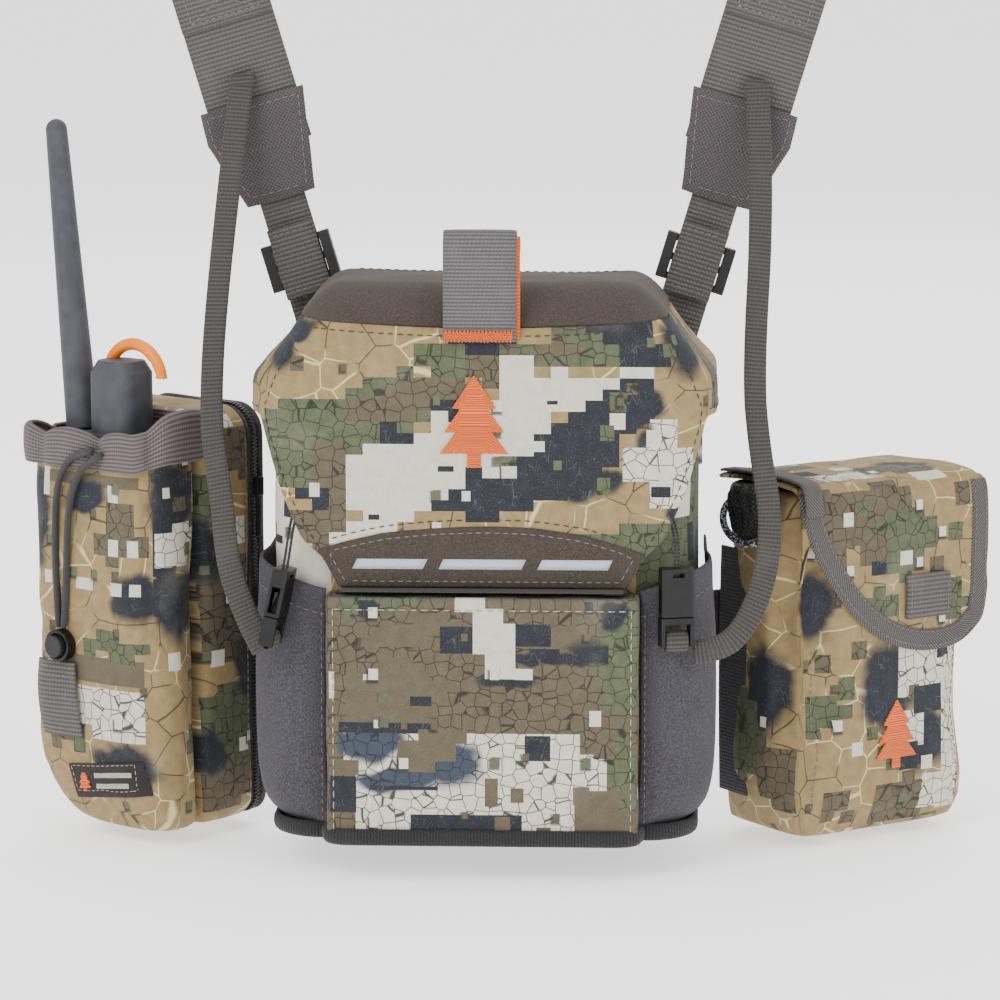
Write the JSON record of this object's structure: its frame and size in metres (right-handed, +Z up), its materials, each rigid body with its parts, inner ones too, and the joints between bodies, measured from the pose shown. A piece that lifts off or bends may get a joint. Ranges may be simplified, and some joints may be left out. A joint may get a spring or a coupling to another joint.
{
  "type": "binocular harness pack",
  "caption": "Chest pack for a binocular with a forward-opening hood, shoulder straps, tether buckles, a pouch carrying a handheld radio and a flapped rangefinder pouch",
  "frame": {"origin": "middle of the back panel's rear face, which rests on the wearer's chest", "axes": "+X to the viewer's right facing the pack, -Y away from the wearer, +Z up along the body"},
  "size_m": [0.4034, 0.1614, 0.4129],
  "materials": {
    "camo_fabric": "matte printed polyester",
    "softshell": "matte brushed softshell",
    "stretch_fabric": "matte stretch knit",
    "webbing": "woven nylon webbing",
    "canvas": "coarse woven canvas",
    "elastic_band": "ribbed elastic",
    "orange_trim": "woven trim",
    "orange_plastic": "satin moulded",
    "black_plastic": "satin moulded acetal",
    "device_rubber": "matte moulded rubber",
    "lining": "brushed fleece",
    "spacer_mesh": "spacer mesh",
    "zip_tape": "woven tape with moulded coil",
    "black_cord": "braided cord",
    "bungee": "braided elastic cord",
    "reflective_cord": "braided cord with bright tracer",
    "magnet": "plated"
  },
  "bodies": {
    "pack": {"main_shell": "camo_fabric", "fleece_lining": "lining", "back_panel": "spacer_mesh", "back_foam": "lining", "base_panel": "softshell", "base_binding": "webbing", "side_pockets": "stretch_fabric", "front_pocket": "camo_fabric", "front_pocket_zip": "zip_tape", "body_magnets": "magnet", "shoulder_straps": "webbing", "adjuster_webs": "webbing", "strap_patches": "canvas", "strap_rings": "black_plastic", "tether_ends": "webbing", "tether_straps": "webbing", "radio_pocket": "camo_fabric", "radio_pocket_band": "elastic_band", "radio_case": "camo_fabric", "radio_zip_tape": "zip_tape", "radio_back_panel": "canvas", "radio_pocket_tab": "webbing", "cord_lock": "black_plastic", "radio_pocket_label": "canvas", "bungee_cord": "bungee", "range_pouch": "camo_fabric", "range_side_strip": "canvas", "braided_tape_hank": "black_cord", "side_webs": "webbing", "belt_loops": "webbing", "reflective_loop": "reflective_cord", "left_buckle_plug": "black_plastic", "right_buckle_plug": "black_plastic"},
    "hood": {"hood_front": "camo_fabric", "hood_top_panel": "softshell", "hood_name_bar": "softshell", "hood_hinge_strip": "softshell", "pull_tab": "webbing", "pull_tab_lining": "orange_trim", "hood_magnets": "magnet"},
    "left_slider": {"left_strap_slider": "black_plastic"},
    "right_slider": {"right_strap_slider": "black_plastic"},
    "left_cup": {"left_buckle_cup": "black_plastic", "left_thin_cords": "black_cord"},
    "right_cup": {"right_buckle_cup": "black_plastic", "right_thin_cords": "black_cord"},
    "left_inner_prong": {"left_buckle_inner_prong": "black_plastic"},
    "left_outer_prong": {"left_buckle_outer_prong": "black_plastic"},
    "right_inner_prong": {"right_buckle_inner_prong": "black_plastic"},
    "right_outer_prong": {"right_buckle_outer_prong": "black_plastic"},
    "radio_zip_pull": {"radio_zip_slider": "black_plastic"},
    "front_zip_pull": {"front_zip_slider": "black_plastic"},
    "lock_button": {"cord_lock_button": "black_plastic"},
    "handheld": {"handheld_radio": "device_rubber", "handheld_antenna": "device_rubber", "handheld_grip_loop": "orange_plastic"},
    "range_lid": {"range_flap": "camo_fabric", "range_flap_binding": "webbing", "range_flap_tab": "webbing", "range_flap_magnet": "magnet"}
  },
  "joints": [
    {"name": "hood_hinge", "type": "hinge", "parent": "pack", "child": "hood", "pos_m": [0, -0.104, -0.0048], "axis": [1, 0, 0], "range_deg": [0, 150]},
    {"name": "left_slider_slide", "type": "slide", "parent": "pack", "child": "left_slider", "axis": [-0.2874, 0, 0.9578], "range_m": [0, 0.016]},
    {"name": "right_slider_slide", "type": "slide", "parent": "pack", "child": "right_slider", "axis": [0.2874, 0, 0.9578], "range_m": [0, 0.016]},
    {"name": "left_buckle_release", "type": "slide", "parent": "pack", "child": "left_cup", "axis": [0.2079, 0, 0.9781], "range_m": [0, 0.011], "deforming": ["left_thin_cords"]},
    {"name": "right_buckle_release", "type": "slide", "parent": "pack", "child": "right_cup", "axis": [0, 0, 1], "range_m": [0, 0.011], "deforming": ["right_thin_cords"]},
    {"name": "left_inner_prong_squeeze", "type": "slide", "parent": "pack", "child": "left_inner_prong", "axis": [0.2034, 0.9781, -0.0432], "range_m": [0, 0.0012], "stiffness_N_per_m": 150},
    {"name": "left_outer_prong_squeeze", "type": "slide", "parent": "pack", "child": "left_outer_prong", "axis": [-0.2034, -0.9781, 0.0432], "range_m": [0, 0.0012]},
    {"name": "right_inner_prong_squeeze", "type": "slide", "parent": "pack", "child": "right_inner_prong", "axis": [0.9659, 0.2588, 0], "range_m": [0, 0.0012], "stiffness_N_per_m": 150},
    {"name": "right_outer_prong_squeeze", "type": "slide", "parent": "pack", "child": "right_outer_prong", "axis": [-0.9659, -0.2588, 0], "range_m": [0, 0.0012]},
    {"name": "radio_zip_travel", "type": "slide", "parent": "pack", "child": "radio_zip_pull", "axis": [0, 0, -1], "range_m": [0, 0.11]},
    {"name": "front_zip_travel", "type": "slide", "parent": "pack", "child": "front_zip_pull", "axis": [-1, 0, 0], "range_m": [0, 0.095]},
    {"name": "cord_lock_press", "type": "slide", "parent": "pack", "child": "lock_button", "axis": [0.5878, 0.809, 0], "range_m": [0, 0.0018], "stiffness_N_per_m": 250},
    {"name": "handheld_lift", "type": "slide", "parent": "pack", "child": "handheld", "axis": [0, 0, 1], "range_m": [0, 0.11]},
    {"name": "range_flap_hinge", "type": "hinge", "parent": "pack", "child": "range_lid", "pos_m": [0.13402, 0.02329, 0.031], "axis": [-0.809, -0.5878, 0], "range_deg": [0, 130]}
  ],
  "couplings": [
    {"joint": "left_outer_prong_squeeze", "follows": "left_inner_prong_squeeze", "ratio": 1},
    {"joint": "right_outer_prong_squeeze", "follows": "right_inner_prong_squeeze", "ratio": 1}
  ]
}
